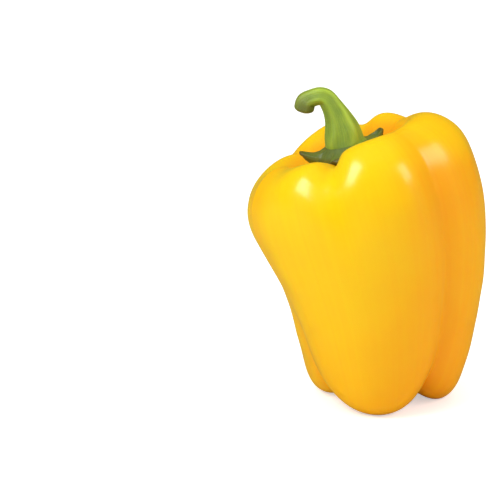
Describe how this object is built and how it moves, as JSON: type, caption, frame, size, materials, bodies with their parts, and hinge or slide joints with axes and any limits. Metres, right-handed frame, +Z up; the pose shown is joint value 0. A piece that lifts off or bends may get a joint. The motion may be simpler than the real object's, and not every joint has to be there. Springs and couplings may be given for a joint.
{
  "type": "bell pepper",
  "caption": "Blocky lobed bell pepper standing on its lobes, with a star-shaped calyx and a ridged stem that hooks over to one side.",
  "frame": {"origin": "middle of the box round the whole pepper, on the surface it stands on", "axes": "+Z up from the feet to the stem; -Y towards the front lobe; the stem leans and hooks towards -X"},
  "size_m": [0.0854, 0.086, 0.1145],
  "materials": {
    "fruit_skin": "gloss",
    "calyx_green": "satin",
    "stem_green": "satin"
  },
  "bodies": {
    "root": {"fruit": "fruit_skin", "calyx": "calyx_green", "stem": "stem_green"}
  },
  "joints": []
}
